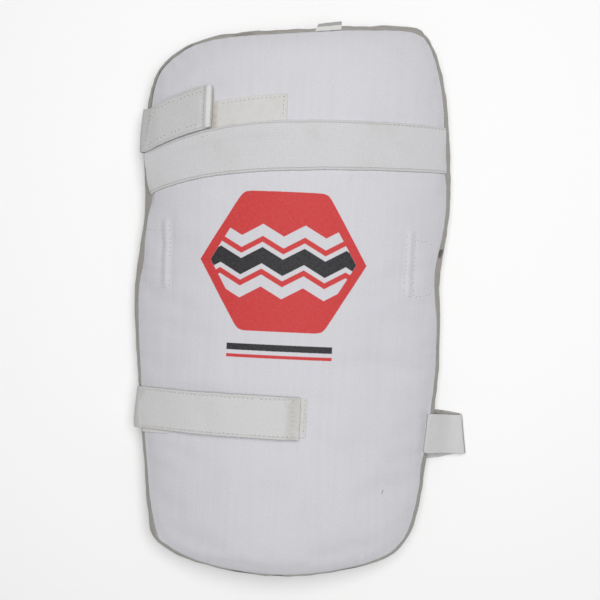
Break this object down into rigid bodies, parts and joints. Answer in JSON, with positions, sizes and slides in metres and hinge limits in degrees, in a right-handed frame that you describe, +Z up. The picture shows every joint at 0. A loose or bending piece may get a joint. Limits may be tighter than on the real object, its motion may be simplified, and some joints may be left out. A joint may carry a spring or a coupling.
{
  "type": "cricket thigh guard",
  "caption": "Padded thigh guard lying on its back: a white cloth panel over foam, bent round the thigh, with a webbing band and hook and loop straps.",
  "frame": {"origin": "under the middle of the whole guard, on the ground that it lies on", "axes": "+Z up out of the padded front, +Y towards the waist end, +X to the right as seen from above"},
  "size_m": [0.2418, 0.3822, 0.0538],
  "materials": {
    "pad_cloth": "matt woven cotton and polyester cloth, cool white",
    "cover_cloth": "matt knitted cloth, warm grey",
    "band_webbing": "matt ribbed elastic webbing, white",
    "strap_webbing": "matt twill elastic webbing, off-white",
    "loop_tape": "fuzzy loop tape, creamy white",
    "hook_tape": "nylon hook tape, cream",
    "label_cloth": "smooth folded label tape, white, blank"
  },
  "bodies": {
    "root": {"front_pad": "pad_cloth", "back_cover": "cover_cloth", "front_band": "band_webbing", "waist_patch": "loop_tape", "waist_strap": "strap_webbing", "waist_hook_tape": "hook_tape", "thigh_patch": "loop_tape", "thigh_strap": "strap_webbing", "thigh_hook_tape": "hook_tape", "size_label": "label_cloth"}
  },
  "joints": []
}
